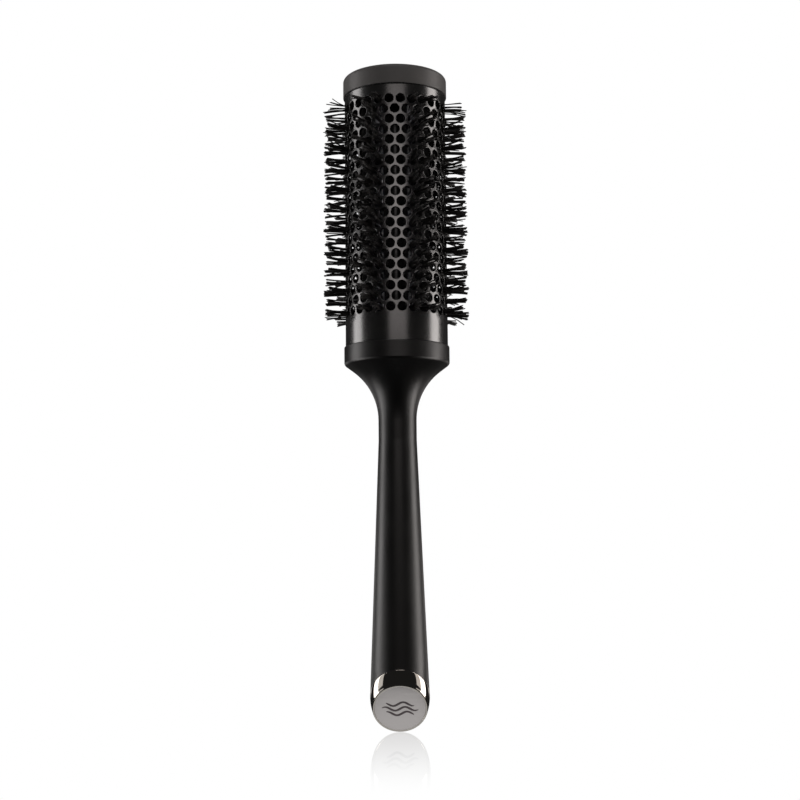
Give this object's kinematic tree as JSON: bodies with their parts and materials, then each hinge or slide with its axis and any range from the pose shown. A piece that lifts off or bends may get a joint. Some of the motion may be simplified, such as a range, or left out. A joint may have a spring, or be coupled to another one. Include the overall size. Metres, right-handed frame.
{
  "type": "round barrel brush",
  "caption": "Round vented barrel brush with bands of bristle tufts, a soft-touch end cap and collar, and a slim tapered handle with a slanted disc at its end.",
  "frame": {"origin": "on the brush axis at the collar's lower edge, where the barrel end meets the handle", "axes": "+Z along the brush axis towards the end cap; the slanted disc at the handle's end faces -Y and down; +X completes the frame"},
  "size_m": [0.0634, 0.0629, 0.2893],
  "materials": {
    "soft_touch_cap": "soft-touch matte",
    "soft_touch_grip": "soft-touch matte",
    "coated_barrel": "black coated satin",
    "nylon_bristle": "satin nylon filament",
    "rigid_moulding": "moulded satin",
    "zinc_steel": "zinc plated",
    "rail_steel": "folded strip",
    "dark_chrome": "dark chrome gloss",
    "adhesive_foam": "matte",
    "satin_badge": "fine brushed satin"
  },
  "bodies": {
    "root": {"end_cap": "soft_touch_cap", "cap_plug": "rigid_moulding", "tie_nut": "zinc_steel", "tie_washer": "zinc_steel", "tie_rod": "zinc_steel", "barrel": "coated_barrel", "bristle_core": "rigid_moulding", "collar": "soft_touch_grip", "handle_core": "rigid_moulding", "handle_grip": "soft_touch_grip", "end_bezel": "dark_chrome", "badge_pad": "adhesive_foam", "end_badge": "satin_badge", "bristles_1": "nylon_bristle", "bristles_2": "nylon_bristle", "bristles_3": "nylon_bristle", "bristles_4": "nylon_bristle", "bristles_5": "nylon_bristle", "bristles_6": "nylon_bristle", "bristles_7": "nylon_bristle", "bristle_rail_1": "rail_steel", "bristle_rail_2": "rail_steel", "bristle_rail_3": "rail_steel", "bristle_rail_4": "rail_steel", "bristle_rail_5": "rail_steel", "bristle_rail_6": "rail_steel", "bristle_rail_7": "rail_steel", "anchor_wire_1": "rail_steel", "anchor_wire_2": "rail_steel", "anchor_wire_3": "rail_steel", "anchor_wire_4": "rail_steel", "anchor_wire_5": "rail_steel", "anchor_wire_6": "rail_steel", "anchor_wire_7": "rail_steel"}
  },
  "joints": []
}
